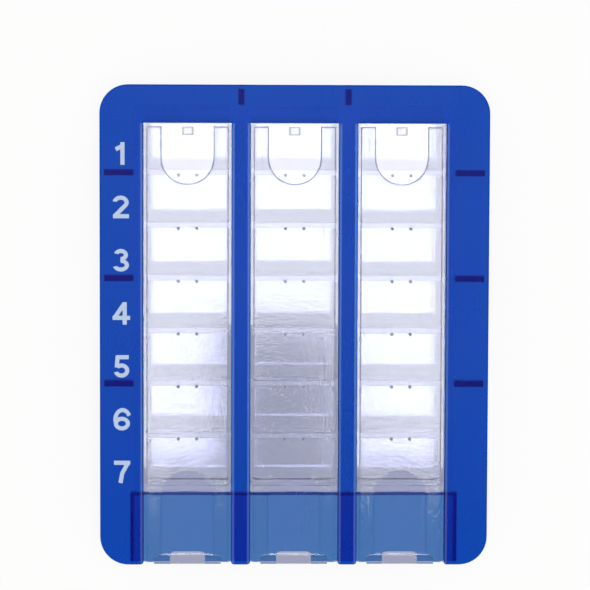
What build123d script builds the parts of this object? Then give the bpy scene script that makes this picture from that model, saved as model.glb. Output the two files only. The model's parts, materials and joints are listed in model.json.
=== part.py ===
"""Weekly pill organizer: a blue see-through frame, three seven-pocket trays and three clear sliding lids.

The case lies on its back. +Z points up through the lids, +Y points to row one, +X to the right-hand column.
The head end is at row one, and the lids are drawn out at the tail end. The origin is under the middle of the
case, on the surface that it rests on. Units are millimetres.
"""

import os

from build123d import *

# Columns and rows
column_names = ("left", "middle", "right")
window_width = 21.9
bar_width = 4.8
row_count = 7
row_pitch = 13.2
divider_wall = 1.2

# Case
case_height = 18.0
case_corner_radius = 7.1
side_margin = 10.85  # from the windows to the case's long edges
head_margin = 9.5  # from the windows to the case's head end
top_edge_round = 0.4
window_mouth_radius = 0.8  # rounds the bars' free ends

# Rails and running fits
rail_lip = 2.0  # thickness of the rail lips above the lids
rail_reach = 0.7  # how far a rail lip stands out over its slot
slide_gap = 0.15  # running gap around a lid
seat_gap = 0.1  # gap between pieces that are set side by side
fit_gap = 0.05  # play between the frame and the pieces that are fixed under it

# Ribs that stiffen the frame's overhang, from the trays to near its edge
rib_thickness = 1.5
rib_height = 3.5
rib_gap = 0.3  # from the trays
rib_inset = 1.0  # from the case's edge
ribbed_dividers = (1, 3, 5)  # counted from row one

# Trays
deck_thickness = 1.4
deck_side = 1.3  # deck past the pocket walls, along both sides
deck_head = 4.0  # deck past the first pocket
deck_tail = 1.6  # deck past the last pocket
deck_corner_radius = 0.8
pocket_tuck = 0.3  # how far the first pocket goes under the case
pocket_wall = 1.0
pocket_floor = 1.2
pocket_side_round = 1.5  # along the side walls and in the upright corners
scoop_radius = 3.5  # floor's round on the tail side, where a fingertip lifts pills out
heel_radius = 2.0  # floor's round on the head side
trough_bevel = 1.4  # along the underside's outer edges, measured in from the sides
trough_bevel_rise = 0.8  # the same bevel, measured up the sides

# Lids
lid_base = 0.8  # thickness of the plate that runs in the rails
lid_inset = 0.4  # tail end from the case's tail end
panel_rise = 0.8  # raised panel above the plate
panel_side_inset = 0.7  # panel from the window's long edges
panel_head_inset = 0.85  # panel from the window's head edge
panel_bevel = 0.3
recess_width = 12.9  # thumb recesses in the panel, one at each end
head_recess = 14.25
tail_recess = 22.9
lip_width = 16.8  # pull lip at the tail end
lip_length = 2.2
lip_inset = 0.1  # from the case's tail end
lip_height = 0.8  # above the panel
lip_corner_radius = 1.15
lip_bevel = 0.35
lug_width = 2.9  # lug under the head end
lug_length = 2.2
lug_height = 0.7
lug_chamfer = 0.25
lug_side_gap = 0.85  # in the notches that it passes through

# Shelf that carries the lids at the tail end. Its head edge stops the lugs
shelf_length = 17.4
shelf_plate = 1.0
shelf_rim_wall = 0.8  # rim under the shelf, open at the tail end
shelf_rim_height = 2.0
shelf_overhang = 1.1  # how far it is wider than the trays, each side
shelf_inset = 0.5  # its front from the case's tail end
finger_notch_width = 8.8
finger_notch_length = 2.4
finger_notch_radius = 1.2

over_cut = 1.0  # how far a cut runs past the face that it opens
round_share = 0.9  # largest share of a wall that a round or bevel may take


def span(low, high):
    """Middle and length of a stretch between two places."""
    return (low + high) / 2, high - low


def held(radius, *walls):
    """A round or bevel, no larger than its walls can hold."""
    return min(radius, *(round_share * wall for wall in walls))


# Widths, worked out
column_count = len(column_names)
column_pitch = window_width + bar_width
column_centres = [(i - (column_count - 1) / 2) * column_pitch for i in range(column_count)]
bar_lines = [(a + b) / 2 for a, b in zip(column_centres, column_centres[1:])]
case_width = column_count * column_pitch - bar_width + 2 * side_margin
slot_width = window_width + 2 * rail_reach
lid_width = slot_width - 2 * slide_gap
panel_width = window_width - 2 * panel_side_inset
tray_width = column_pitch - 2 * seat_gap
tray_block_width = column_count * column_pitch - 2 * seat_gap
trough_width = tray_width - 2 * deck_side
pocket_width = trough_width - 2 * pocket_wall
shelf_width = tray_block_width + 2 * shelf_overhang
notch_width = lug_width + 2 * lug_side_gap

# Levels, worked out from the top down
rail_under = case_height - rail_lip
base_top = rail_under - slide_gap
lid_under = base_top - lid_base
deck_top = lid_under - slide_gap  # top of the trays and the shelf
frame_under = deck_top + fit_gap
pocket_mouth = deck_top + over_cut

# Places along the case, worked out
pocket_length = row_pitch - divider_wall
field_length = row_count * row_pitch - divider_wall
tail_length = deck_tail + seat_gap + shelf_length + shelf_inset
case_length = head_margin - pocket_tuck + field_length + tail_length
head_end = case_length / 2
tail_end = -case_length / 2
window_head = head_end - head_margin
field_head = window_head + pocket_tuck
field_tail = field_head - field_length
pocket_rows = [field_head - pocket_length / 2 - row * row_pitch for row in range(row_count)]
rib_rows = [field_head - n * row_pitch + divider_wall / 2 for n in ribbed_dividers]
deck_head_end = field_head + deck_head
deck_tail_end = field_tail - deck_tail
lid_head_end = window_head - slide_gap
lid_tail_end = tail_end + lid_inset
panel_head = window_head - panel_head_inset
lug_middle = panel_head - lug_length / 2
lip_tail_end = tail_end + lip_inset
shelf_tail_end = tail_end + shelf_inset
shelf_head_end = shelf_tail_end + shelf_length

window_middle, window_length = span(tail_end - over_cut, window_head)
side_rib_middle, side_rib_length = span(tray_block_width / 2 + rib_gap, case_width / 2 - rib_inset)
head_rib_middle, head_rib_length = span(deck_head_end + rib_gap, head_end - rib_inset)
shelf_middle, _ = span(shelf_tail_end, shelf_head_end)
deck_middle, deck_length = span(deck_tail_end, deck_head_end)
trough_middle, trough_length = span(field_tail - pocket_wall, field_head + pocket_wall)
notch_middle, notch_length = span(deck_tail_end - over_cut, pocket_rows[0])
lid_middle, lid_length = span(lid_tail_end, lid_head_end)
panel_middle, panel_length = span(lid_tail_end, panel_head)
lip_middle, _ = span(lip_tail_end, lip_tail_end + lip_length)


# Case frame: a plate with windows that are open at the tail end, rails for the lids, and ribs under its overhang
with BuildPart() as frame:
    with BuildSketch(Plane.XY.offset(frame_under)) as plate:
        RectangleRounded(case_width, case_length, case_corner_radius)
        with Locations([(x, window_middle) for x in column_centres]):
            Rectangle(window_width, window_length, mode=Mode.SUBTRACT)
        bar_ends = plate.vertices().group_by(Axis.Y)[0].sort_by(Axis.X)[1:-1]
        fillet(bar_ends, radius=window_mouth_radius)
    extrude(amount=case_height - frame_under)

    # Slots that the lids run in, under the rail lips
    with BuildSketch(Plane.XY.offset(frame_under)):
        with Locations([(x, window_middle) for x in column_centres]):
            Rectangle(slot_width, window_length)
    extrude(amount=rail_under - frame_under, mode=Mode.SUBTRACT)

    fillet(
        frame.faces().sort_by(Axis.Z)[-1].edges(),
        radius=held(top_edge_round, rail_lip, window_mouth_radius),
    )

    # Side ribs stand level with every other divider, and head ribs in line with the bars
    with BuildSketch(Plane.XY.offset(frame_under)):
        with Locations([(side * side_rib_middle, y) for side in (-1, 1) for y in rib_rows]):
            Rectangle(side_rib_length, rib_thickness)
        with Locations([(x, head_rib_middle) for x in bar_lines]):
            Rectangle(rib_thickness, head_rib_length)
    extrude(amount=-rib_height)


# End shelf: a plate under the lids at the tail end, with a notch for a fingertip under each pull lip
with BuildPart() as shelf:
    with BuildSketch(Plane.XY.offset(deck_top)):
        with Locations((0, shelf_middle)):
            Rectangle(shelf_width, shelf_length)
        with Locations([(x, shelf_tail_end) for x in column_centres]):
            RectangleRounded(
                finger_notch_width, 2 * finger_notch_length, finger_notch_radius, mode=Mode.SUBTRACT
            )
    extrude(amount=-shelf_plate)

    with BuildSketch(Plane.XY.offset(deck_top - shelf_plate)):
        with Locations((0, shelf_middle)):
            Rectangle(shelf_width, shelf_length)
        with Locations((0, shelf_middle - shelf_rim_wall)):
            Rectangle(shelf_width - 2 * shelf_rim_wall, shelf_length, mode=Mode.SUBTRACT)
    extrude(amount=-shelf_rim_height)


# The space inside one pocket, with a floor that curves up like a scoop on the tail side
with BuildPart() as pocket:
    with BuildSketch(Plane.YZ) as pocket_profile:
        with Locations((0, (pocket_floor + pocket_mouth) / 2)):
            Rectangle(pocket_length, pocket_mouth - pocket_floor)
        tail_corner, head_corner = pocket_profile.vertices().group_by(Axis.Y)[0].sort_by(Axis.X)
        fillet(tail_corner, radius=scoop_radius)
        fillet(head_corner, radius=heel_radius)
    extrude(amount=pocket_width / 2, both=True)

    # The floor is rounded up to both side walls
    with BuildSketch(Plane.XZ) as pocket_section:
        with Locations((0, (pocket_floor + pocket_mouth) / 2)):
            Rectangle(pocket_width, pocket_mouth - pocket_floor)
        fillet(pocket_section.vertices().group_by(Axis.Y)[0], radius=pocket_side_round)
    extrude(amount=pocket_length, both=True, mode=Mode.INTERSECT)

    # The upright corners are rounded too
    with BuildSketch():
        RectangleRounded(pocket_width, pocket_length, pocket_side_round)
    extrude(amount=pocket_mouth, mode=Mode.INTERSECT)


# Tray: a deck over a trough of pockets, notched along its middle for the lid's lug
with BuildPart() as tray:
    with BuildSketch():
        with Locations((0, trough_middle)):
            RectangleRounded(trough_width, trough_length, pocket_side_round + pocket_wall)
    extrude(amount=deck_top)
    underside = tray.faces().sort_by(Axis.Z)[0]
    chamfer(
        underside.edges(),
        length=held(trough_bevel, pocket_side_round + pocket_wall),
        length2=trough_bevel_rise,
        reference=underside,
    )

    with BuildSketch(Plane.XY.offset(deck_top)):
        with Locations((0, deck_middle)):
            RectangleRounded(tray_width, deck_length, deck_corner_radius)
    extrude(amount=-deck_thickness)

    with Locations([(0, y, 0) for y in pocket_rows]):
        add(pocket.part, mode=Mode.SUBTRACT)

    with BuildSketch(Plane.XY.offset(deck_top)):
        with Locations((0, notch_middle)):
            Rectangle(notch_width, notch_length)
    extrude(amount=-lug_height, mode=Mode.SUBTRACT)


# Lid: a plate that runs in the rails, a raised panel with two thumb recesses, a pull lip and a lug
with BuildPart() as lid:
    with BuildSketch(Plane.XY.offset(lid_under)):
        with Locations((0, lid_middle)):
            Rectangle(lid_width, lid_length)
    extrude(amount=lid_base)

    with BuildSketch(Plane.XY.offset(base_top)):
        with Locations((0, panel_middle)):
            Rectangle(panel_width, panel_length)
        with Locations((0, panel_head)):
            SlotOverall(2 * head_recess, recess_width, rotation=90, mode=Mode.SUBTRACT)
        with Locations((0, lid_tail_end)):
            SlotOverall(2 * tail_recess, recess_width, rotation=90, mode=Mode.SUBTRACT)
    extrude(amount=panel_rise)
    chamfer(lid.faces().sort_by(Axis.Z)[-1].edges(), length=held(panel_bevel, panel_rise))

    with BuildSketch(Plane.XY.offset(lid_under)) as lip:
        with Locations((0, lip_middle)):
            Rectangle(lip_width, lip_length)
        fillet(lip.vertices().group_by(Axis.Y)[-1], radius=lip_corner_radius)
    extrude(amount=lid_base + panel_rise + lip_height)
    chamfer(lid.faces().sort_by(Axis.Z)[-1].edges(), length=held(lip_bevel, lip_corner_radius, lip_height))

    with BuildSketch(Plane.XY.offset(lid_under)):
        with Locations((0, lug_middle)):
            Rectangle(lug_width, lug_length)
    extrude(amount=-lug_height)
    chamfer(lid.faces().sort_by(Axis.Z)[0].edges(), length=held(lug_chamfer, lug_height))


os.makedirs("parts", exist_ok=True)

for piece, label in ((frame, "case_frame"), (shelf, "end_shelf")):
    piece.part.label = label
    export_step(piece.part, f"parts/{label}.step")

for piece, kind in ((tray, "tray"), (lid, "lid")):
    for name, x in zip(column_names, column_centres):
        placed = piece.part.moved(Location((x, 0, 0)))
        placed.label = f"{kind}_{name}"
        export_step(placed, f"parts/{placed.label}.step")
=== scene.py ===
"""Finishes, row numerals and a photo stage for a weekly pill organizer with three sliding lids.

The file is laid out as a Blender add-on. Lengths are metres, in the same frame as the solids: +Z up
through the lids, +Y to row one, +X to the right-hand column.
"""

import json

import bpy
import numpy as np
from bpy.props import FloatProperty, FloatVectorProperty, PointerProperty
from mathutils import Euler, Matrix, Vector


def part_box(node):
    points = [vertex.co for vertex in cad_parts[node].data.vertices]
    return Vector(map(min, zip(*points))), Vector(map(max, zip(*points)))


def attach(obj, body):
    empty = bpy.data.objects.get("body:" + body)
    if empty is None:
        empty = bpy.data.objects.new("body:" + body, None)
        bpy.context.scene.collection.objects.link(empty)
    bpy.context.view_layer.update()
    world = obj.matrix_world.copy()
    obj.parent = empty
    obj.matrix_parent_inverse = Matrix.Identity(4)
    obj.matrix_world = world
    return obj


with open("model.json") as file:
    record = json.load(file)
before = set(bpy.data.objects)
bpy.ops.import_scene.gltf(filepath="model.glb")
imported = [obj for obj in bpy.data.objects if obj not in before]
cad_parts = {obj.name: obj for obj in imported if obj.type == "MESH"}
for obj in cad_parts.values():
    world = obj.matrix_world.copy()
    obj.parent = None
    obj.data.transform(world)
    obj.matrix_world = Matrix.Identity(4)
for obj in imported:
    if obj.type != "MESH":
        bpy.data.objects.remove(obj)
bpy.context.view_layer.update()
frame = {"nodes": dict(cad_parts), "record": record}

bl_info = {
    "name": "Pill Organizer Looks",
    "version": (1, 0, 0),
    "blender": (4, 5, 0),
    "location": "View3D > Sidebar > Pill Organizer",
    "description": "Finishes, row numerals and a photo stage for a weekly pill organizer",
    "category": "Object",
}

COLUMNS = ("left", "middle", "right")
CASE_NODES = ("case_frame", "end_shelf")
TRAY_NODES = tuple(f"tray_{column}" for column in COLUMNS)
LID_NODES = tuple(f"lid_{column}" for column in COLUMNS)

case_low, case_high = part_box("case_frame")
tray_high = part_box("tray_middle")[1]
lid_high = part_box("lid_middle")[1]
ROW_BOXES = [
    opening["box_m"]
    for opening in frame["record"]["physics"]["openings"]
    if opening["name"].startswith("left_pocket_")
]
ROW_MIDDLES = [(low[1] + high[1]) / 2 for low, high in ROW_BOXES]
ROW_PITCH = ROW_MIDDLES[0] - ROW_MIDDLES[1]
FIRST_DIVIDER = ROW_MIDDLES[0] - ROW_PITCH / 2
COLUMN_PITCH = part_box("tray_middle")[0].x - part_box("tray_left")[0].x
FIELD_REACH = 1.49 * COLUMN_PITCH  # just short of the outer columns' outer edges
TOP_SKIN = 0.0003  # faces this near the frame's top count as its top face

# Strokes of each numeral, in units of its height, from the lower left corner of its cell.
# A bar is (x0, y0, x1, y1). An arc is (centre x, centre y, radius x, radius y, start, end),
# anticlockwise in degrees.
NUMERAL_STROKES = {
    1: [(0.45, 0.0, 0.45, 1.0), (0.49, 0.86, 0.15, 0.68)],
    2: [(0.36, 0.70, 0.265, 0.21, -42, 172), (0.557, 0.56, 0.13, 0.13), (0.02, 0.09, 0.73, 0.09)],
    3: [(0.36, 0.735, 0.22, 0.175, -95, 165), (0.36, 0.28, 0.265, 0.19, -168, 95)],
    4: [(0.52, 0.0, 0.52, 1.0), (-0.02, 0.30, 0.76, 0.30), (0.49, 0.92, 0.08, 0.32)],
    5: [(0.16, 0.91, 0.69, 0.91), (0.20, 0.98, 0.155, 0.45), (0.365, 0.315, 0.255, 0.225, -165, 145)],
    6: [(0.375, 0.305, 0.265, 0.215, -180, 180), (0.405, 0.49, 0.32, 0.42, 30, 200)],
    7: [(0.01, 0.91, 0.735, 0.91), (0.63, 0.90, 0.37, 0.42), (0.38, 0.46, 0.30, 0.0)],
}
NUMERAL_CELL = 0.74  # width of a numeral's cell
NUMERAL_GRID = 64  # grid cells to a numeral's height
GRID_LEFT, GRID_RIGHT = -0.15, 0.9
GRID_BOTTOM, GRID_TOP = -0.15, 1.15
OUTLINE_REACH = 0.55  # grid points this near the outline, in cells, move onto it
LEAST_STEEPNESS = 0.25  # keeps those moves short where strokes meet
LEAST_SHARE = 1e-6  # keeps the middle of an arc from dividing by zero

# Finer variation in the materials.
NOISE_LOW, NOISE_HIGH = 0.3, 0.7  # range that most of a noise texture lies in
GRAIN_HEIGHT = 0.00002  # height of the moulded grain's bump
CLOUDY = 0.97  # share of light that the cloudiest patches of the clear plastics pass
BLUE_CLOUD, CLEAR = (0.93, 0.95, 1.0), (1.0, 1.0, 1.0)  # tints of the blue plastic's face
SATIN_SPREAD, POCKET_SPREAD = 0.04, 0.02  # how far the roughness goes up and down
BLUE_STREAK, LID_STREAK, SHADE_DOT_ROUGHNESS = 0.02, 0.1, 0.8  # roughness that rub marks add, and that the painted shade dots add
SHADE_DOT_CORE = 0.4  # share of a painted shade dot's radius that is fully dark and dull
STREAK_STRETCH = 0.03  # rub marks' width against their length
STREAK_LOW, STREAK_HIGH = 0.64, 0.72  # part of the noise that makes a rub mark
THIN_INK = 0.86  # share of its colour that the thinnest ink shows
INK_ROUGHNESS = (0.45, 0.6)
PAPER_ROUGHNESS = (0.85, 0.95)
PAPER_SHADE = 0.985  # share of its colour that the floor's darker patches show
PAPER_SHINE = 0.1

# Lowest and highest corner of each softbox, seen from above: a wide one over the head end, and two narrow
# ones beside it. The gap between those two is what the middle lid mirrors over its last rows.
SOFTBOXES = {
    "softbox_head": ((-0.16, -0.076), (0.20, 0.24)),
    "softbox_left": ((-0.16, -0.172), (-0.034, -0.076)),
    "softbox_right": ((0.053, -0.172), (0.20, -0.076)),
}
SENSOR_WIDTH = 36.0  # in millimetres, as the lens is
CLIP_START = 0.01  # nearest distance that the camera sees


class CaseSettings(bpy.types.PropertyGroup):
    # With the density below, partly the plastic's own blue and partly painted shade of the floor under the
    # case, which is whitened where it is seen through the plastic.
    passed_colour: FloatVectorProperty(
        name="Passed Colour",
        description="Colour that the blue plastic lets through",
        default=(0.0, 0.5545, 0.872),
        min=0.0,
        max=1.0,
        size=3,
        subtype="COLOR",
    )
    density: FloatProperty(
        name="Density",
        description="How strongly the blue plastic absorbs, per metre",
        default=2000.0,
        min=0.0,
    )
    ior: FloatProperty(
        name="Refraction",
        description="How strongly the blue plastic bends light",
        default=1.4,
        min=1.0,
    )
    shine: FloatProperty(
        name="Shine",
        description="How strongly the blue plastic's face mirrors, against plain plastic",
        default=0.07,
        min=0.0,
        max=1.0,
        subtype="FACTOR",
    )
    roughness: FloatProperty(
        name="Roughness",
        description="Roughness of the blue plastic's satin face",
        default=0.25,
        min=0.0,
        max=1.0,
        subtype="FACTOR",
    )
    grain_size: FloatProperty(
        name="Grain Size",
        description="Size of the moulded grain on the blue plastic",
        default=0.00035,
        min=0.00001,
        unit="LENGTH",
    )
    rail_rub: FloatProperty(
        name="Rail Rub",
        description="Width of the pale rubbed edges along the windows, past the lids' own edges",
        default=0.00025,
        unit="LENGTH",
    )
    rail_shine: FloatProperty(
        name="Rail Shine",
        description="Extra shine of the rubbed edges along the windows",
        default=0.7,
        min=0.0,
        max=1.0,
        subtype="FACTOR",
    )
    rail_roughness: FloatProperty(
        name="Rail Roughness",
        description="Roughness of the shine on the rubbed edges",
        default=0.5,
        min=0.0,
        max=1.0,
        subtype="FACTOR",
    )


class TraySettings(bpy.types.PropertyGroup):
    tint: FloatVectorProperty(
        name="Tint",
        description="Colour of light that has passed once through a tray",
        default=(0.96, 0.97, 0.965),
        min=0.0,
        max=1.0,
        size=3,
        subtype="COLOR",
    )
    ior: FloatProperty(
        name="Refraction",
        description="How strongly a tray bends light",
        default=1.25,
        min=1.0,
    )
    coat_ior: FloatProperty(
        name="Coat Refraction",
        description="Refraction of the polished pockets' coat, which sets how strongly they mirror",
        default=1.8,
        min=1.0,
    )
    pocket_roughness: FloatProperty(
        name="Pocket Roughness",
        description="Roughness of the polished pockets",
        default=0.07,
        min=0.0,
        max=1.0,
        subtype="FACTOR",
    )
    top_roughness: FloatProperty(
        name="Top Roughness",
        description="Roughness of the dividers' dull tops",
        default=0.4,
        min=0.0,
        max=1.0,
        subtype="FACTOR",
    )
    top_depth: FloatProperty(
        name="Top Depth",
        description="How far down from a tray's top its faces are dull",
        default=0.0009,
        unit="LENGTH",
    )
    top_inset: FloatProperty(
        name="Top Inset",
        description="How far inside a lid's long edges the dull faces end",
        default=0.0008,
        unit="LENGTH",
    )
    deck_depth: FloatProperty(
        name="Deck Depth",
        description="How far down from a tray's top its faces are uncoated",
        default=0.0016,
        unit="LENGTH",
    )


class LidSettings(bpy.types.PropertyGroup):
    # Partly the lids' own smoky colour and partly painted shade of the box's inside, where the floor seen
    # through the plastic is whitened.
    tint: FloatVectorProperty(
        name="Tint",
        description="Colour of light that has passed once through a lid",
        default=(0.435, 0.455, 0.61),
        min=0.0,
        max=1.0,
        size=3,
        subtype="COLOR",
    )
    ior: FloatProperty(
        name="Refraction",
        description="How strongly a lid bends light",
        default=1.49,
        min=1.0,
    )
    shine: FloatProperty(
        name="Shine",
        description="How strongly a lid mirrors, against plain plastic",
        default=0.6,
        min=0.0,
        max=1.0,
        subtype="FACTOR",
    )
    panel_roughness: FloatProperty(
        name="Panel Roughness",
        description="Roughness of the frosted raised panel",
        default=0.035,
        min=0.0,
        max=1.0,
        subtype="FACTOR",
    )
    recess_roughness: FloatProperty(
        name="Recess Roughness",
        description="Roughness of the polished thumb recesses and running edges",
        default=0.02,
        min=0.0,
        max=1.0,
        subtype="FACTOR",
    )
    panel_level: FloatProperty(
        name="Panel Level",
        description="Height that parts the frosted panel from the polished recesses",
        default=0.01625,
        unit="LENGTH",
    )
    recess_depth: FloatProperty(
        name="Recess Depth",
        description="How far below the panel level a face still belongs to a polished recess",
        default=0.0007,
        unit="LENGTH",
    )
    recess_reach: FloatProperty(
        name="Recess Reach",
        description="Half the width of a polished recess",
        default=0.0065,
        unit="LENGTH",
    )
    # Partly the recess's own colour and partly the same painted shade as the lid tint.
    recess_tint: FloatVectorProperty(
        name="Recess Tint",
        description="Colour of light that has passed once through a lid's recess",
        default=(0.415, 0.425, 0.65),
        min=0.0,
        max=1.0,
        size=3,
        subtype="COLOR",
    )
    recess_polish: FloatProperty(
        name="Recess Polish",
        description="Extra shine of the polished recesses",
        default=0.45,
        min=0.0,
        max=1.0,
        subtype="FACTOR",
    )
    running_edge: FloatProperty(
        name="Running Edge",
        description="Width of the thin clear edges that run under the case's rails",
        default=0.00055,
        unit="LENGTH",
    )
    # Painted highlight: the running edges' near-white tint paints a pale line along the windows' long edges.
    edge_highlight_tint: FloatVectorProperty(
        name="Edge Tint",
        description="Colour of light that has passed once through a lid's running edge",
        default=(0.97, 0.98, 1.0),
        min=0.0,
        max=1.0,
        size=3,
        subtype="COLOR",
    )
    lip_depth: FloatProperty(
        name="Lip Depth",
        description="How far down from a lid's top its faces belong to the pull lip",
        default=0.0006,
        unit="LENGTH",
    )
    lip_share: FloatProperty(
        name="Lip Share",
        description="Share of light that the thicker pull lip passes, against the panel",
        default=0.72,
        min=0.0,
        max=1.0,
        subtype="FACTOR",
    )
    lug_level: FloatProperty(
        name="Lug Level",
        description="Height under which the lug's faces are ground",
        default=0.0150,
        unit="LENGTH",
    )
    lug_roughness: FloatProperty(
        name="Lug Roughness",
        description="Roughness of the ground lug",
        default=0.5,
        min=0.0,
        max=1.0,
        subtype="FACTOR",
    )
    # The two settings below darken the lug's rim in colour: painted shade along the lug's sides, seen through
    # the lid.
    shade_rim_start: FloatProperty(
        name="Shade Rim Start",
        description="Where the lug's darker rim starts, from its middle at 0 to its outline at 1",
        default=0.66,
        min=0.0,
        max=1.0,
        subtype="FACTOR",
    )
    shade_rim_share: FloatProperty(
        name="Shade Rim Share",
        description="Share of light that the lug's rim passes, against the panel",
        default=0.05,
        min=0.0,
        max=1.0,
        subtype="FACTOR",
    )
    grain_size: FloatProperty(
        name="Grain Size",
        description="Size of the frosted grain",
        default=0.0006,
        min=0.00001,
        unit="LENGTH",
    )
    # The four settings below place dark, dull dots on the lids over each divider beside the lugs' notches:
    # painted shade at the notches' corners.
    shade_dot_spread: FloatProperty(
        name="Shade Dot Spread",
        description="Dull rub dots over the dividers from the middle of a column, beside the lugs' notches",
        default=0.0023,
        unit="LENGTH",
    )
    shade_dot_size: FloatProperty(
        name="Shade Dot Size",
        description="Radius of a rub dot",
        default=0.0005,
        min=0.00001,
        unit="LENGTH",
    )
    shade_dot_drop: FloatProperty(
        name="Shade Dot Drop",
        description="Rub dots towards the tail from the middle of a divider",
        default=0.00085,
        unit="LENGTH",
    )
    shade_dot_share: FloatProperty(
        name="Shade Dot Share",
        description="Share of light that a rub dot passes, against the panel",
        default=0.5,
        min=0.0,
        max=1.0,
        subtype="FACTOR",
    )


class NumeralSettings(bpy.types.PropertyGroup):
    height: FloatProperty(
        name="Height",
        description="Height of a row numeral",
        default=0.0056,
        min=0.001,
        unit="LENGTH",
    )
    weight: FloatProperty(
        name="Stroke Weight",
        description="Width of a stroke as a share of the numeral's height",
        default=0.185,
        min=0.02,
        max=0.4,
        subtype="FACTOR",
    )
    inset: FloatProperty(
        name="Inset",
        description="Middle of the first numeral from the case's left edge",
        default=0.00528,
        unit="LENGTH",
    )
    drop: FloatProperty(
        name="Drop",
        description="Middle of a numeral below the middle of its row",
        default=0.00207,
        unit="LENGTH",
    )
    step: FloatProperty(
        name="Step",
        description="How far each numeral is out to the right and down from the one before",
        default=0.00004,
        unit="LENGTH",
    )
    thickness: FloatProperty(
        name="Ink Thickness",
        description="Thickness of the printed ink",
        default=0.00004,
        min=0.000001,
        unit="LENGTH",
    )
    colour: FloatVectorProperty(
        name="Ink Colour",
        description="Colour of the printed ink",
        default=(0.475, 0.595, 0.83),
        min=0.0,
        max=1.0,
        size=3,
        subtype="COLOR",
    )


class StageSettings(bpy.types.PropertyGroup):
    floor_size: FloatProperty(
        name="Floor Size",
        description="Side of the square floor",
        default=8.0,
        unit="LENGTH",
    )
    floor_gap: FloatProperty(
        name="Floor Gap",
        description="Hair's breadth of air between the floor and the trays",
        default=0.0001,
        unit="LENGTH",
    )
    floor_colour: FloatVectorProperty(
        name="Floor Colour",
        description="Colour of the pale floor",
        default=(0.95, 0.95, 0.95),
        min=0.0,
        max=1.0,
        size=3,
        subtype="COLOR",
    )
    whiteness: FloatProperty(
        name="Whiteness",
        description="How far the floor goes to white where the camera sees it, also through the plastic",
        default=0.85,
        min=0.0,
        max=1.0,
        subtype="FACTOR",
    )
    fill: FloatProperty(
        name="Fill",
        description="Brightness of the even light from all round",
        default=0.52,
        min=0.0,
    )
    fill_colour: FloatVectorProperty(
        name="Fill Colour",
        description="Colour of the even light from all round",
        default=(0.98, 0.99, 1.0),
        min=0.0,
        max=1.0,
        size=3,
        subtype="COLOR",
    )
    softbox_brightness: FloatProperty(
        name="Softbox Brightness",
        description="Brightness of the softboxes' faces",
        default=11.0,
        min=0.0,
    )
    softbox_colour: FloatVectorProperty(
        name="Softbox Colour",
        description="Colour of the softboxes, a little warm",
        default=(1.0, 0.98, 0.9),
        min=0.0,
        max=1.0,
        size=3,
        subtype="COLOR",
    )
    softbox_level: FloatProperty(
        name="Softbox Level",
        description="Height of the softboxes above the floor",
        default=1.0,
        unit="LENGTH",
    )
    camera_place: FloatVectorProperty(
        name="Camera Place",
        description="Place of the camera",
        default=(-0.0110, 0.0452, 0.6000),
        size=3,
        subtype="TRANSLATION",
        unit="LENGTH",
    )
    camera_turn: FloatVectorProperty(
        name="Camera Turn",
        description="Camera's tilt, yaw and roll, from looking straight down",
        default=(np.radians(-3.674), np.radians(-1.091), np.radians(0.117)),
        size=3,
        subtype="EULER",
        unit="ROTATION",
    )
    lens: FloatProperty(
        name="Lens",
        description="Focal length, on a 36 mm wide sensor",
        default=142.9,
        min=1.0,
        unit="CAMERA",
    )


class PillOrganizerSettings(bpy.types.PropertyGroup):
    case: PointerProperty(type=CaseSettings, name="Case", description="Finish of the blue case")
    trays: PointerProperty(type=TraySettings, name="Trays", description="Finish of the clear trays")
    lids: PointerProperty(type=LidSettings, name="Lids", description="Finish of the sliding lids")
    numerals: PointerProperty(type=NumeralSettings, name="Numerals", description="Printed row numerals")
    stage: PointerProperty(type=StageSettings, name="Stage", description="Floor, light and camera")


def new_tree(name):
    """A new material's empty node tree, with its output."""
    material = bpy.data.materials.new(name)
    material.use_nodes = True
    tree = material.node_tree
    tree.nodes.clear()
    return material, tree, tree.nodes.new("ShaderNodeOutputMaterial")


def math(tree, operation, first, second):
    """Output of a Math node. Each term is a socket or a number."""
    node = tree.nodes.new("ShaderNodeMath")
    node.operation = operation
    for socket, term in zip(node.inputs, (first, second)):
        if isinstance(term, bpy.types.NodeSocket):
            tree.links.new(term, socket)
        else:
            socket.default_value = term
    return node.outputs[0]


def ramp(tree, value, low, high, to_low, to_high):
    """Output of a Map Range node that turns low..high into to_low..to_high, held at both ends."""
    node = tree.nodes.new("ShaderNodeMapRange")
    tree.links.new(value, node.inputs["Value"])
    for name, number in (("From Min", low), ("From Max", high), ("To Min", to_low), ("To Max", to_high)):
        node.inputs[name].default_value = number
    return node.outputs["Result"]


def varied(tree, noise, low, high):
    """Turns the range that most of a noise texture lies in into low..high."""
    return ramp(tree, noise, NOISE_LOW, NOISE_HIGH, low, high)


def split_xyz(tree, coordinates):
    """X, Y and Z outputs of coordinates."""
    node = tree.nodes.new("ShaderNodeSeparateXYZ")
    tree.links.new(coordinates, node.inputs["Vector"])
    return node.outputs


def share_of(colour, share):
    """A colour times a number."""
    return tuple(share * channel for channel in colour)


def mixed_colour(tree, factor, first, second):
    """Output of a Mix node between two colours. Each is a socket or three numbers."""
    node = tree.nodes.new("ShaderNodeMix")
    node.data_type = "RGBA"
    tree.links.new(factor, node.inputs["Factor"])
    for socket, term in zip((node.inputs["A"], node.inputs["B"]), (first, second)):
        if isinstance(term, bpy.types.NodeSocket):
            tree.links.new(term, socket)
        else:
            socket.default_value = (*term, 1.0)
    return node.outputs["Result"]


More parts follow.
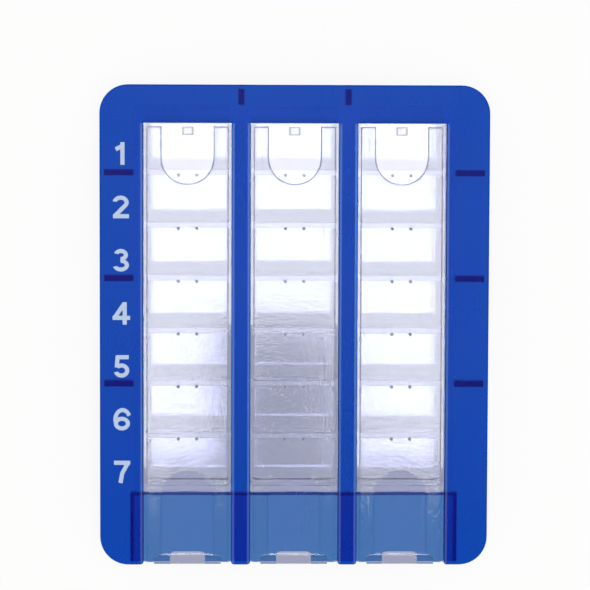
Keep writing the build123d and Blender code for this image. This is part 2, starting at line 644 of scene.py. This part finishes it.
def grain_group():
    """Moulded grain: fine noise for bump, and slow cloudy patches for colour and roughness."""
    name = "moulded_grain"
    if name in bpy.data.node_groups:
        return bpy.data.node_groups[name]
    group = bpy.data.node_groups.new(name, "ShaderNodeTree")
    group.interface.new_socket("Coordinates", in_out="INPUT", socket_type="NodeSocketVector")
    for label, default in (("Grain Size", 0.0004), ("Patch Size", 0.02)):
        socket = group.interface.new_socket(label, in_out="INPUT", socket_type="NodeSocketFloat")
        socket.default_value = default
    for label in ("Grain", "Patches"):
        group.interface.new_socket(label, in_out="OUTPUT", socket_type="NodeSocketFloat")
    start = group.nodes.new("NodeGroupInput")
    end = group.nodes.new("NodeGroupOutput")
    for size, label, detail in (("Grain Size", "Grain", 2.0), ("Patch Size", "Patches", 4.0)):
        noise = group.nodes.new("ShaderNodeTexNoise")
        noise.inputs["Detail"].default_value = detail
        group.links.new(start.outputs["Coordinates"], noise.inputs["Vector"])
        group.links.new(math(group, "DIVIDE", 1.0, start.outputs[size]), noise.inputs["Scale"])
        group.links.new(noise.outputs["Fac"], end.inputs[label])
    return group


def scuff_group():
    """Fine rub marks along the sliding direction: noise stretched along Y, cut to thin streaks."""
    name = "rub_marks"
    if name in bpy.data.node_groups:
        return bpy.data.node_groups[name]
    group = bpy.data.node_groups.new(name, "ShaderNodeTree")
    group.interface.new_socket("Coordinates", in_out="INPUT", socket_type="NodeSocketVector")
    width = group.interface.new_socket("Streak Width", in_out="INPUT", socket_type="NodeSocketFloat")
    width.default_value = 0.0003
    group.interface.new_socket("Streaks", in_out="OUTPUT", socket_type="NodeSocketFloat")
    start = group.nodes.new("NodeGroupInput")
    end = group.nodes.new("NodeGroupOutput")
    stretch = group.nodes.new("ShaderNodeMapping")
    stretch.inputs["Scale"].default_value = (1.0, STREAK_STRETCH, 1.0)
    group.links.new(start.outputs["Coordinates"], stretch.inputs["Vector"])
    noise = group.nodes.new("ShaderNodeTexNoise")
    noise.inputs["Detail"].default_value = 3.0
    group.links.new(stretch.outputs["Vector"], noise.inputs["Vector"])
    group.links.new(math(group, "DIVIDE", 1.0, start.outputs["Streak Width"]), noise.inputs["Scale"])
    streaks = ramp(group, noise.outputs["Fac"], STREAK_LOW, STREAK_HIGH, 0.0, 1.0)
    group.links.new(streaks, end.inputs["Streaks"])
    return group


def placed_group(tree, group, coordinates, **values):
    """A group node in a material, with its own values."""
    node = tree.nodes.new("ShaderNodeGroup")
    node.node_tree = group
    tree.links.new(coordinates, node.inputs["Coordinates"])
    for name, value in values.items():
        node.inputs[name.replace("_", " ").title()].default_value = value
    return node


def clear_body(tree, output, ior, tint):
    """A see-through Principled shader. Light from lamps and off the floor passes it unbent, with the tint."""
    shader = tree.nodes.new("ShaderNodeBsdfPrincipled")
    shader.inputs["IOR"].default_value = ior
    shader.inputs["Transmission Weight"].default_value = 1.0
    light_path = tree.nodes.new("ShaderNodeLightPath")
    unbent = tree.nodes.new("ShaderNodeBsdfTransparent")
    unbent.inputs["Color"].default_value = (*np.sqrt(tint), 1.0)
    mix = tree.nodes.new("ShaderNodeMixShader")
    passes = math(tree, "MAXIMUM", light_path.outputs["Is Shadow Ray"], light_path.outputs["Is Diffuse Ray"])
    tree.links.new(passes, mix.inputs["Fac"])
    tree.links.new(shader.outputs["BSDF"], mix.inputs[1])
    tree.links.new(unbent.outputs["BSDF"], mix.inputs[2])
    tree.links.new(mix.outputs["Shader"], output.inputs["Surface"])
    return shader


def absorbing(tree, output, passed_colour, density):
    """Absorption inside a see-through body, so that thick places are darker."""
    absorption = tree.nodes.new("ShaderNodeVolumeAbsorption")
    absorption.inputs["Color"].default_value = (*passed_colour, 1.0)
    absorption.inputs["Density"].default_value = density
    tree.links.new(absorption.outputs["Volume"], output.inputs["Volume"])


def bumped(tree, shader, height, distance, strength):
    """Feeds a height to the shader's normal through a Bump node."""
    bump = tree.nodes.new("ShaderNodeBump")
    bump.inputs["Strength"].default_value = strength
    bump.inputs["Distance"].default_value = distance
    tree.links.new(height, bump.inputs["Height"])
    tree.links.new(bump.outputs["Normal"], shader.inputs["Normal"])


def object_coordinates(tree):
    """The object's own coordinates, which are the frame's."""
    return tree.nodes.new("ShaderNodeTexCoord").outputs["Object"]


def rail_edges(tree, coordinates, settings):
    """Mask of the frame's top face along the windows' long edges, where the lids' rails lie.

    Folding x by the column pitch brings all the windows to one place. The mask ends at the outer rails and at
    the windows' head.
    """
    x, y, z = split_xyz(tree, coordinates)
    out = math(tree, "PINGPONG", x, COLUMN_PITCH / 2)
    beside = math(tree, "LESS_THAN", out, lid_high.x + settings.rail_rub)
    between = math(tree, "LESS_THAN", math(tree, "ABSOLUTE", x, 0.0), FIELD_REACH)
    along = math(tree, "LESS_THAN", y, lid_high.y)
    top = math(tree, "GREATER_THAN", z, case_high.z - TOP_SKIN)
    return math(tree, "MULTIPLY", math(tree, "MULTIPLY", beside, between), math(tree, "MULTIPLY", along, top))


def blue_plastic(settings):
    """See-through blue with a satin grain, cloudy flow patches, faint rub marks and pale rail edges."""
    material, tree, output = new_tree("blue_plastic")
    shader = clear_body(tree, output, settings.ior, CLEAR)
    shader.inputs["Specular Tint"].default_value = (*share_of(CLEAR, settings.shine), 1.0)
    shader.inputs["Coat Roughness"].default_value = settings.rail_roughness
    # the absorption is partly painted shade of the floor under the case
    absorbing(tree, output, settings.passed_colour, settings.density)
    coordinates = object_coordinates(tree)
    grain = placed_group(tree, grain_group(), coordinates, grain_size=settings.grain_size, patch_size=0.018)
    rubs = placed_group(tree, scuff_group(), coordinates, streak_width=0.0004)
    tint = mixed_colour(tree, grain.outputs["Patches"], BLUE_CLOUD, CLEAR)
    tree.links.new(tint, shader.inputs["Base Color"])
    smooth, rough = settings.roughness - SATIN_SPREAD, settings.roughness + SATIN_SPREAD
    satin = varied(tree, grain.outputs["Patches"], smooth, rough)
    rubbed = math(tree, "MULTIPLY", rubs.outputs["Streaks"], BLUE_STREAK)
    tree.links.new(math(tree, "ADD", satin, rubbed), shader.inputs["Roughness"])
    shine = math(tree, "MULTIPLY", rail_edges(tree, coordinates, settings), settings.rail_shine)
    tree.links.new(shine, shader.inputs["Coat Weight"])
    bumped(tree, shader, grain.outputs["Grain"], distance=GRAIN_HEIGHT, strength=0.3)
    return material


def clear_plastic(settings):
    """Clear trays with coated pockets, slow ripples from moulding and dull tops on the dividers."""
    material, tree, output = new_tree("clear_plastic")
    shader = clear_body(tree, output, settings.ior, settings.tint)
    shader.inputs["Coat IOR"].default_value = settings.coat_ior
    coordinates = object_coordinates(tree)
    grain = placed_group(tree, grain_group(), coordinates, grain_size=0.0025, patch_size=0.015)
    tint = mixed_colour(tree, grain.outputs["Patches"], share_of(settings.tint, CLOUDY), settings.tint)
    tree.links.new(tint, shader.inputs["Base Color"])
    x, _, z = split_xyz(tree, coordinates)
    pockets = math(tree, "LESS_THAN", z, tray_high.z - settings.deck_depth)
    tree.links.new(pockets, shader.inputs["Coat Weight"])
    out = math(tree, "PINGPONG", x, COLUMN_PITCH / 2)
    inside = math(tree, "LESS_THAN", out, lid_high.x - settings.top_inset)
    tops = math(tree, "GREATER_THAN", z, tray_high.z - settings.top_depth)
    tops = math(tree, "MULTIPLY", tops, inside)
    polish = ramp(tree, tops, 0.0, 1.0, settings.pocket_roughness, settings.top_roughness)
    uneven = varied(tree, grain.outputs["Patches"], -POCKET_SPREAD, POCKET_SPREAD)
    tree.links.new(math(tree, "ADD", polish, uneven), shader.inputs["Roughness"])
    bumped(tree, shader, grain.outputs["Grain"], distance=GRAIN_HEIGHT, strength=0.4)
    return material


def notch_shade_dots(tree, coordinates, settings):
    """Mask of two small painted shade dots on a lid over each divider, beside the notch that the lids' lugs run
    through.

    Folding x by the column pitch and y by the row pitch brings all the dots to one place. The mask falls off
    with the distance from it, sqrt((x - spread)^2 + y^2), and ends at the first and last rows.
    """
    x, y, _ = split_xyz(tree, coordinates)
    across = math(tree, "SUBTRACT", math(tree, "PINGPONG", x, COLUMN_PITCH / 2), settings.shade_dot_spread)
    below = math(tree, "SUBTRACT", y, FIRST_DIVIDER - settings.shade_dot_drop)
    along = math(tree, "PINGPONG", below, ROW_PITCH / 2)
    square = math(tree, "ADD", math(tree, "MULTIPLY", across, across), math(tree, "MULTIPLY", along, along))
    distance = math(tree, "SQRT", square, 0.0)
    dots = ramp(tree, distance, SHADE_DOT_CORE * settings.shade_dot_size, settings.shade_dot_size, 1.0, 0.0)
    below_first = math(tree, "LESS_THAN", y, ROW_MIDDLES[0])
    above_last = math(tree, "GREATER_THAN", y, ROW_MIDDLES[-1])
    return math(tree, "MULTIPLY", dots, math(tree, "MULTIPLY", below_first, above_last))


def lug_box(settings):
    """Lowest and highest corner of the middle lid's lug: the box of the lid's points below the lug level."""
    points = np.empty(3 * len(frame["nodes"]["lid_middle"].data.vertices))
    frame["nodes"]["lid_middle"].data.vertices.foreach_get("co", points)
    points = points.reshape(-1, 3)
    points = points[points[:, 2] < settings.lug_level]
    return points.min(0), points.max(0)


def rim_mask(tree, out, y, low, high, start):
    """Mask of the outer part of a box seen from above: max(|x| / half width, |y| / half length) past start."""
    along = math(tree, "ABSOLUTE", math(tree, "SUBTRACT", y, (low[1] + high[1]) / 2), 0.0)
    across = math(tree, "DIVIDE", out, (high[0] - low[0]) / 2)
    along = math(tree, "DIVIDE", along, (high[1] - low[1]) / 2)
    return math(tree, "GREATER_THAN", math(tree, "MAXIMUM", across, along), start)


def frosted_plastic(settings):
    """Clear lids with a frosted grain on the raised panel, their tint partly painted shade. Recesses and edges
    are polished and rubbed; the edges carry a painted highlight, and the notch dots and the lug's rim carry
    painted shade.
    """
    material, tree, output = new_tree("frosted_plastic")
    shader = clear_body(tree, output, settings.ior, settings.tint)
    shader.inputs["Specular Tint"].default_value = (*share_of(CLEAR, settings.shine), 1.0)
    coordinates = object_coordinates(tree)
    grain = placed_group(tree, grain_group(), coordinates, grain_size=settings.grain_size, patch_size=0.012)
    rubs = placed_group(tree, scuff_group(), coordinates, streak_width=0.0003)

    x, y, z = split_xyz(tree, coordinates)
    out = math(tree, "PINGPONG", x, COLUMN_PITCH / 2)
    panel = math(tree, "GREATER_THAN", z, settings.panel_level)
    recess = math(tree, "GREATER_THAN", z, settings.panel_level - settings.recess_depth)
    recess = math(tree, "SUBTRACT", recess, panel)
    recess = math(tree, "MULTIPLY", recess, math(tree, "LESS_THAN", out, settings.recess_reach))
    # the running edges, which get the painted highlight
    edges = math(tree, "GREATER_THAN", out, lid_high.x - settings.running_edge)
    lip = math(tree, "GREATER_THAN", z, lid_high.z - settings.lip_depth)
    # dark dots by the lugs' notches: painted shade
    rub = notch_shade_dots(tree, coordinates, settings)
    lug = math(tree, "LESS_THAN", z, settings.lug_level)
    # the lug's rim, darkened as painted shade
    rim = rim_mask(tree, out, y, *lug_box(settings), settings.shade_rim_start)

    # The lid tint is partly painted shade of the box's inside. Below, the near-white running edges are a
    # painted highlight, and the dots by the notches and the lug's rim are painted shade.
    tint = mixed_colour(tree, grain.outputs["Patches"], share_of(settings.tint, CLOUDY), settings.tint)
    for mask, colour in (
        (recess, settings.recess_tint),
        (edges, settings.edge_highlight_tint),
        (lip, share_of(settings.tint, settings.lip_share)),
        (rub, share_of(settings.tint, settings.shade_dot_share)),
        (math(tree, "MULTIPLY", lug, rim), share_of(settings.tint, settings.shade_rim_share)),
    ):
        tint = mixed_colour(tree, mask, tint, colour)
    tree.links.new(tint, shader.inputs["Base Color"])
    tree.links.new(math(tree, "MULTIPLY", recess, settings.recess_polish), shader.inputs["Coat Weight"])

    polish = ramp(tree, lug, 0.0, 1.0, settings.recess_roughness, settings.lug_roughness)
    frost = math(tree, "MAXIMUM", polish, math(tree, "MULTIPLY", panel, settings.panel_roughness))
    streaks = math(tree, "MULTIPLY", rubs.outputs["Streaks"], LID_STREAK)
    rubbed = math(tree, "MAXIMUM", math(tree, "MULTIPLY", rub, SHADE_DOT_ROUGHNESS), streaks)
    tree.links.new(math(tree, "ADD", frost, rubbed), shader.inputs["Roughness"])
    frosting = math(tree, "MULTIPLY", grain.outputs["Grain"], panel)
    bumped(tree, shader, frosting, distance=GRAIN_HEIGHT, strength=1.0)
    return material


def white_print(settings):
    """Printed ink, a little uneven, that lets some of the blue tinge it."""
    material, tree, output = new_tree("white_print")
    shader = tree.nodes.new("ShaderNodeBsdfPrincipled")
    tree.links.new(shader.outputs["BSDF"], output.inputs["Surface"])
    coordinates = object_coordinates(tree)
    grain = placed_group(tree, grain_group(), coordinates, grain_size=0.0003, patch_size=0.002)
    ink = mixed_colour(tree, grain.outputs["Patches"], share_of(settings.colour, THIN_INK), settings.colour)
    tree.links.new(ink, shader.inputs["Base Color"])
    tree.links.new(varied(tree, grain.outputs["Grain"], *INK_ROUGHNESS), shader.inputs["Roughness"])
    bumped(tree, shader, grain.outputs["Grain"], distance=GRAIN_HEIGHT / 2, strength=0.3)
    return material


def floor_paper(settings):
    """Matt pale paper with a trace of tooth, most of the way to white where it is seen, its shadows with it.

    It is seen by the camera and by rays that the plastic mirrored or passed. From below the paper is
    see-through, so that the underside of what stands on it can be looked at.
    """
    material, tree, output = new_tree("floor_paper")
    shader = tree.nodes.new("ShaderNodeBsdfPrincipled")
    shader.inputs["Specular IOR Level"].default_value = PAPER_SHINE
    white = tree.nodes.new("ShaderNodeEmission")
    light_path = tree.nodes.new("ShaderNodeLightPath")
    mix = tree.nodes.new("ShaderNodeMixShader")
    seen = light_path.outputs["Is Camera Ray"]
    for kind in ("Is Glossy Ray", "Is Transmission Ray"):
        seen = math(tree, "MAXIMUM", seen, light_path.outputs[kind])
    tree.links.new(math(tree, "MULTIPLY", seen, settings.whiteness), mix.inputs["Fac"])
    tree.links.new(shader.outputs["BSDF"], mix.inputs[1])
    tree.links.new(white.outputs["Emission"], mix.inputs[2])
    sides = tree.nodes.new("ShaderNodeMixShader")
    tree.links.new(tree.nodes.new("ShaderNodeNewGeometry").outputs["Backfacing"], sides.inputs["Fac"])
    tree.links.new(mix.outputs["Shader"], sides.inputs[1])
    tree.links.new(tree.nodes.new("ShaderNodeBsdfTransparent").outputs["BSDF"], sides.inputs[2])
    tree.links.new(sides.outputs["Shader"], output.inputs["Surface"])
    grain = placed_group(tree, grain_group(), object_coordinates(tree), grain_size=0.001, patch_size=0.4)
    pale = settings.floor_colour
    paper = mixed_colour(tree, grain.outputs["Patches"], share_of(pale, PAPER_SHADE), pale)
    tree.links.new(paper, shader.inputs["Base Color"])
    tree.links.new(varied(tree, grain.outputs["Grain"], *PAPER_ROUGHNESS), shader.inputs["Roughness"])
    return material


def finish_nodes(names, material):
    """Gives solids one material."""
    for name in names:
        slots = frame["nodes"][name].data.materials
        slots.clear()
        slots.append(material)


def stroke_distance(x, y, stroke, weight):
    """Distance from points to a stroke's outline, negative inside.

    A bar is a box along its line: the larger of the distances past its ends and past its sides. An arc is the
    distance to its ellipse along the radius, less half the weight, and no nearer than the arc past its ends.
    """
    if len(stroke) == 4:
        x0, y0, x1, y1 = stroke
        length = np.hypot(x1 - x0, y1 - y0)
        along_x, along_y = (x1 - x0) / length, (y1 - y0) / length
        from_x, from_y = x - (x0 + x1) / 2, y - (y0 + y1) / 2
        along = np.abs(from_x * along_x + from_y * along_y) - length / 2
        across = np.abs(from_y * along_x - from_x * along_y) - weight / 2
        return np.maximum(along, across)
    centre_x, centre_y, radius_x, radius_y, start, end = stroke
    from_x, from_y = x - centre_x, y - centre_y
    radius = np.hypot(from_x, from_y)
    share = np.maximum(np.hypot(from_x / radius_x, from_y / radius_y), LEAST_SHARE)
    ring = np.abs(radius - radius / share) - weight / 2
    middle, half = np.radians((start + end) / 2), np.radians((end - start) / 2)
    turn = np.abs(np.angle(np.exp(1j * (np.arctan2(from_y, from_x) - middle))))
    return np.maximum(ring, (turn - half) * radius)


def numeral_mesh(strokes, weight):
    """Points and faces of a numeral one unit high, from the middle of its cell.

    The distance to the nearest stroke is worked out on a square grid. Points near the outline move onto it
    along the distance's slope. Cells with all corners inside stay as squares, and cells with one corner outside
    as triangles.
    """
    cell = 1 / NUMERAL_GRID
    reach = OUTLINE_REACH * cell
    x, y = np.meshgrid(np.arange(GRID_LEFT, GRID_RIGHT, cell), np.arange(GRID_BOTTOM, GRID_TOP, cell))

    def distance(x, y):
        return np.min([stroke_distance(x, y, stroke, weight) for stroke in strokes], axis=0)

    near = distance(x, y)
    slope_y, slope_x = np.gradient(near, cell)
    steep = np.maximum(slope_x**2 + slope_y**2, LEAST_STEEPNESS)
    step = np.where(np.abs(near) < reach, near / steep, 0.0)
    x, y = x - step * slope_x, y - step * slope_y
    inside = (near < reach).ravel()

    index = np.arange(near.size).reshape(near.shape)
    corners = np.stack([index[:-1, :-1], index[:-1, 1:], index[1:, 1:], index[1:, :-1]], -1).reshape(-1, 4)
    count = inside[corners].sum(1)
    squares = corners[count == 4]
    cut = corners[count == 3]
    outside = np.argmin(inside[cut], axis=1)
    triangles = np.take_along_axis(cut, (outside[:, None] + np.array([1, 2, 3])) % 4, axis=1)

    used, place = np.unique(np.concatenate([squares.ravel(), triangles.ravel()]), return_inverse=True)
    squares = place[: squares.size].reshape(-1, 4)
    triangles = place[squares.size :].reshape(-1, 3)
    points = np.stack([x.ravel()[used] - NUMERAL_CELL / 2, y.ravel()[used] - 0.5, np.zeros(used.size)], 1)
    return points, [*squares.tolist(), *triangles.tolist()]


class PILL_OT_finish_case(bpy.types.Operator):
    """Gives the case frame and the end shelf their see-through blue finish"""

    bl_idname = "pill_organizer.finish_case"
    bl_label = "Finish Case"

    def execute(self, context):
        finish_nodes(CASE_NODES, blue_plastic(context.scene.pill_organizer.case))
        return {"FINISHED"}


class PILL_OT_finish_trays(bpy.types.Operator):
    """Gives the trays their clear polished finish"""

    bl_idname = "pill_organizer.finish_trays"
    bl_label = "Finish Trays"

    def execute(self, context):
        finish_nodes(TRAY_NODES, clear_plastic(context.scene.pill_organizer.trays))
        return {"FINISHED"}


class PILL_OT_finish_lids(bpy.types.Operator):
    """Gives the lids their frosted panels and polished recesses"""

    bl_idname = "pill_organizer.finish_lids"
    bl_label = "Finish Lids"

    def execute(self, context):
        finish_nodes(LID_NODES, frosted_plastic(context.scene.pill_organizer.lids))
        return {"FINISHED"}


class PILL_OT_print_numerals(bpy.types.Operator):
    """Prints the numerals one to seven beside the rows"""

    bl_idname = "pill_organizer.print_numerals"
    bl_label = "Print Numerals"

    def execute(self, context):
        settings = context.scene.pill_organizer.numerals
        material = white_print(settings)
        first = np.array([case_low.x + settings.inset, -settings.drop, case_high.z])
        for number, row_y in enumerate(ROW_MIDDLES, start=1):
            points, faces = numeral_mesh(NUMERAL_STROKES[number], settings.weight)
            out = (number - 1) * settings.step
            points = points * settings.height + first + np.array([out, row_y - out, 0.0])
            name = f"row_numeral_{number}"
            mesh = bpy.data.meshes.new(name)
            mesh.from_pydata(points.tolist(), [], faces)
            mesh.materials.append(material)
            numeral = bpy.data.objects.new(name, mesh)
            context.scene.collection.objects.link(numeral)
            ink = numeral.modifiers.new("ink", "SOLIDIFY")
            ink.thickness = settings.thickness
            ink.offset = 1.0
            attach(numeral, "case")
        return {"FINISHED"}


class PILL_OT_set_stage(bpy.types.Operator):
    """Sets the pale floor, soft light and the photo's camera"""

    bl_idname = "pill_organizer.set_stage"
    bl_label = "Set Stage"

    def execute(self, context):
        scene = context.scene
        settings = scene.pill_organizer.stage
        scene.view_settings.view_transform = "Standard"

        corners = settings.floor_size / 2 * np.array([(-1, -1, 0), (1, -1, 0), (1, 1, 0), (-1, 1, 0)])
        corners[:, 2] = -settings.floor_gap
        mesh = bpy.data.meshes.new("floor")
        mesh.from_pydata(corners.tolist(), [], [(0, 1, 2, 3)])
        mesh.materials.append(floor_paper(settings))
        floor = bpy.data.objects.new("floor", mesh)
        scene.collection.objects.link(floor)

        world = bpy.data.worlds.new("room")
        scene.world = world
        world.use_nodes = True
        background = world.node_tree.nodes["Background"]
        background.inputs["Color"].default_value = (*settings.fill_colour, 1.0)
        background.inputs["Strength"].default_value = settings.fill

        for name, (low, high) in SOFTBOXES.items():
            size = np.subtract(high, low)
            lamp = bpy.data.lights.new(name, "AREA")
            lamp.shape = "RECTANGLE"
            lamp.size, lamp.size_y = size
            lamp.color = settings.softbox_colour
            lamp.energy = settings.softbox_brightness * np.pi * size.prod()
            softbox = bpy.data.objects.new(name, lamp)
            softbox.location = (*np.add(low, high) / 2, settings.softbox_level)
            scene.collection.objects.link(softbox)

        lens = bpy.data.cameras.new("camera")
        lens.sensor_width = SENSOR_WIDTH
        lens.lens = settings.lens
        lens.clip_start = CLIP_START
        camera = bpy.data.objects.new("camera", lens)
        camera.rotation_mode = "ZYX"
        camera.location = settings.camera_place
        camera.rotation_euler = Euler(settings.camera_turn, "ZYX")
        scene.collection.objects.link(camera)
        scene.camera = camera
        return {"FINISHED"}


class PILL_PT_panel(bpy.types.Panel):
    """Lists each operator with the settings that it reads"""

    bl_idname = "PILL_PT_panel"
    bl_label = "Pill Organizer"
    bl_space_type = "VIEW_3D"
    bl_region_type = "UI"
    bl_category = "Pill Organizer"

    def draw(self, context):
        settings = context.scene.pill_organizer
        for operator, group in (
            (PILL_OT_finish_case, settings.case),
            (PILL_OT_finish_trays, settings.trays),
            (PILL_OT_finish_lids, settings.lids),
            (PILL_OT_print_numerals, settings.numerals),
            (PILL_OT_set_stage, settings.stage),
        ):
            box = self.layout.box()
            box.operator(operator.bl_idname)
            for name in group.bl_rna.properties.keys():
                if name not in ("rna_type", "name"):
                    box.prop(group, name)


CLASSES = (
    CaseSettings,
    TraySettings,
    LidSettings,
    NumeralSettings,
    StageSettings,
    PillOrganizerSettings,
    PILL_OT_finish_case,
    PILL_OT_finish_trays,
    PILL_OT_finish_lids,
    PILL_OT_print_numerals,
    PILL_OT_set_stage,
    PILL_PT_panel,
)


def register():
    for cls in CLASSES:
        bpy.utils.register_class(cls)
    bpy.types.Scene.pill_organizer = PointerProperty(type=PillOrganizerSettings)


def unregister():
    del bpy.types.Scene.pill_organizer
    for cls in reversed(CLASSES):
        bpy.utils.unregister_class(cls)


def main():
    """Finishes the solids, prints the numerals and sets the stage."""
    register()
    bpy.ops.pill_organizer.finish_case()
    bpy.ops.pill_organizer.finish_trays()
    bpy.ops.pill_organizer.finish_lids()
    bpy.ops.pill_organizer.print_numerals()
    bpy.ops.pill_organizer.set_stage()


if __name__ == "__main__":
    main()
